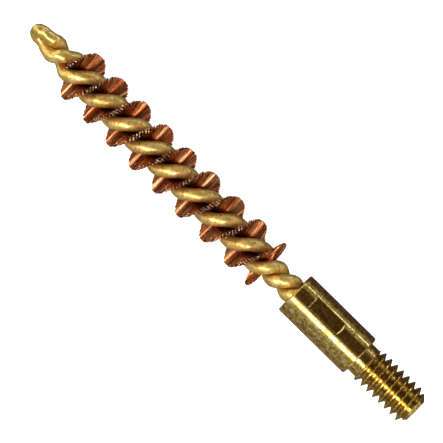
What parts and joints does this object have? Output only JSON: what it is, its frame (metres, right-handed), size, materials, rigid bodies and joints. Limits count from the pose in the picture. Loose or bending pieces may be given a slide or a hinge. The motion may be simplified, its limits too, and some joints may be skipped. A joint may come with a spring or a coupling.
{
  "type": "twisted wire cleaning brush",
  "caption": "Small twisted-wire cleaning brush: a folded brass core wire clamps bronze bristles in a double spiral, and a crimped ferrule ends in a screw stud.",
  "frame": {"origin": "centre of the flat end face of the screw stud, on the brush's axis", "axes": "+X along the brush's axis and out of the stud's end, so the brush's tip points to -X; +Z is the side that the crimp's hollow faces, turned 14 degrees towards +Y"},
  "size_m": [0.0532, 0.0061, 0.0058],
  "materials": {
    "core_wire": "satin drawn wire, dull olive-gold with small dents",
    "ferrule": "bright turned brass with fine turning lines, scratches and light tarnish",
    "bristles": "fine copper-brown bronze wire with cut tips"
  },
  "bodies": {
    "root": {"core_wire": "core_wire", "ferrule": "ferrule", "bristle_pack_01": "bristles", "bristle_pack_02": "bristles", "bristle_pack_03": "bristles", "bristle_pack_04": "bristles", "bristle_pack_05": "bristles", "bristle_pack_06": "bristles", "bristle_pack_07": "bristles", "bristle_pack_08": "bristles", "bristle_pack_09": "bristles", "bristle_pack_10": "bristles", "bristle_pack_11": "bristles", "bristle_pack_12": "bristles", "bristle_pack_13": "bristles", "bristle_pack_14": "bristles", "bristle_pack_15": "bristles", "bristle_pack_16": "bristles", "bristle_pack_17": "bristles", "bristle_pack_18": "bristles"}
  },
  "joints": []
}
